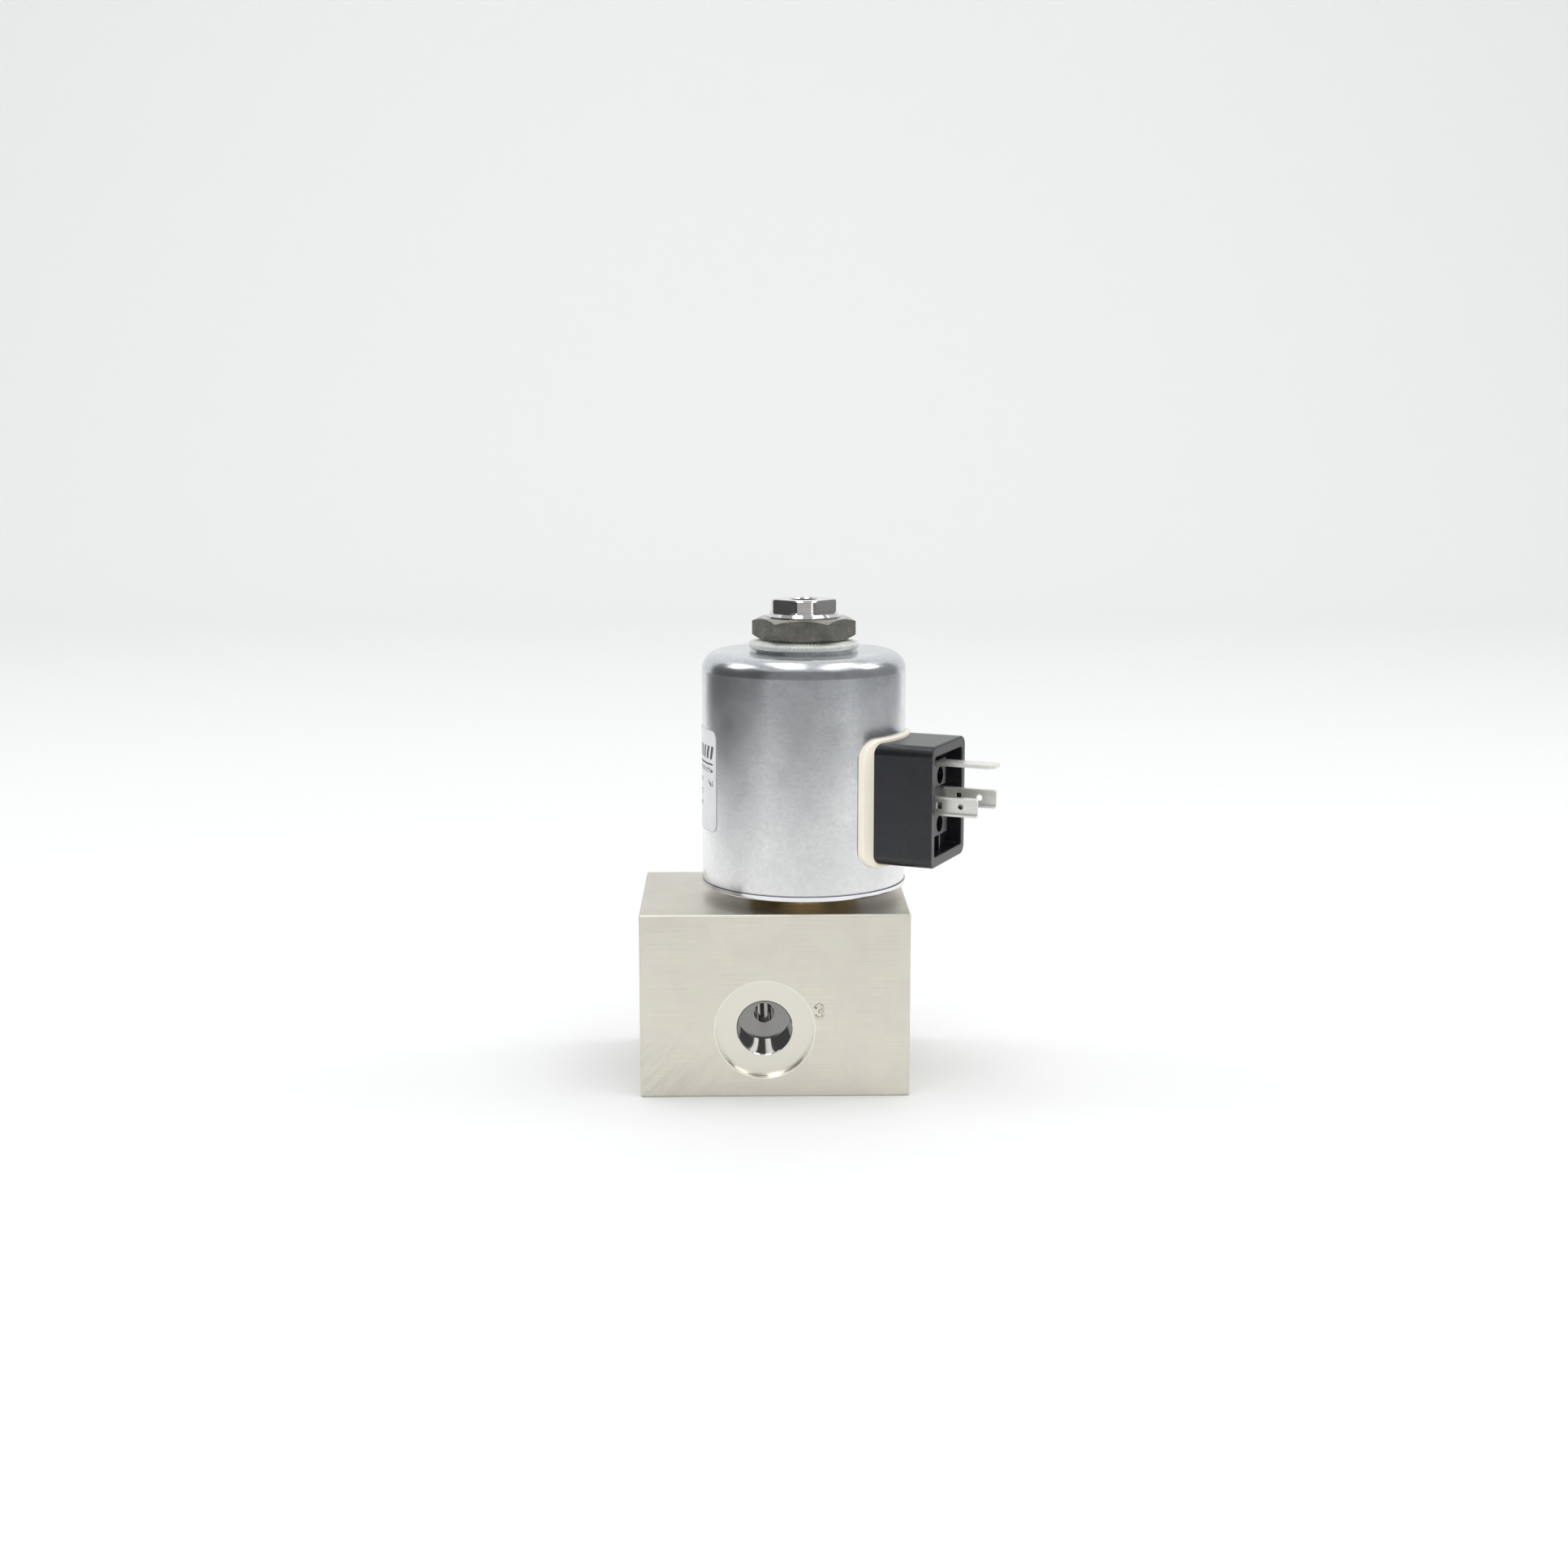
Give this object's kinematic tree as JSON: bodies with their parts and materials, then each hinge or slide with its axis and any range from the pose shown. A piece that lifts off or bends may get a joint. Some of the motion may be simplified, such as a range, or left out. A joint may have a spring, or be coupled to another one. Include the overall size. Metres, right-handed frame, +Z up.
{
  "type": "solenoid valve",
  "caption": "Direct-acting solenoid valve: round steel-cased coil with a blade plug on a ported steel block, clamped by a hexagon nut.",
  "frame": {"origin": "centre of the block's flat bottom face", "axes": "+Z up along the solenoid's axis, -Y towards the face with port 3, +X towards the port 2 face and the plug side"},
  "size_m": [0.0866, 0.0521, 0.1183],
  "materials": {
    "block_steel": "fine ground stainless steel",
    "brass": "turned brass",
    "black_rubber": "moulded rubber",
    "tube_steel": "drawn stainless tube",
    "core_steel": "turned stainless steel",
    "spring_steel": "drawn wire",
    "washer_zinc": "zinc plated",
    "nut_nickel": "nickel plated",
    "can_zinc": "bright zinc plated sheet",
    "bobbin_plastic": "moulded",
    "copper": "enamelled copper wire",
    "cream_resin": "cast resin",
    "black_plastic": "glass filled nylon",
    "tinned_blade": "tinned brass sheet",
    "label_film": "printed metallised film"
  },
  "bodies": {
    "valve_body": {"valve_block": "block_steel", "tube_base": "brass", "tube_base_oring": "black_rubber", "guide_tube": "tube_steel", "fixed_core": "core_steel", "lower_seat": "brass", "lower_seat_oring": "black_rubber", "upper_seat": "brass", "return_spring": "spring_steel", "coil_washer": "washer_zinc", "coil_nut": "nut_nickel"},
    "plunger": {"armature": "core_steel", "valve_stem": "core_steel", "poppet": "brass", "lower_seal": "black_rubber", "upper_seal": "black_rubber"},
    "coil": {"coil_can": "can_zinc", "coil_bottom_plate": "can_zinc", "coil_seal_bottom": "black_rubber", "coil_seal_top": "black_rubber", "coil_bobbin": "bobbin_plastic", "coil_winding": "copper", "coil_resin": "cream_resin", "connector_base": "black_plastic", "power_blade_front": "tinned_blade", "power_blade_rear": "tinned_blade", "earth_blade": "tinned_blade", "coil_leads": "copper", "plug_screw_insert": "brass", "type_label": "label_film"}
  },
  "joints": [
    {"name": "plunger_lift", "type": "slide", "parent": "valve_body", "child": "plunger", "axis": [0, 0, 1], "range_m": [0, 0.0015], "stiffness_N_per_m": 2000, "springref_m": -0.003, "deforming": ["return_spring"]},
    {"name": "coil_swivel", "type": "hinge", "parent": "valve_body", "child": "coil", "pos_m": [0.0075, 0, 0.0479], "axis": [0, 0, 1], "continuous": true}
  ]
}
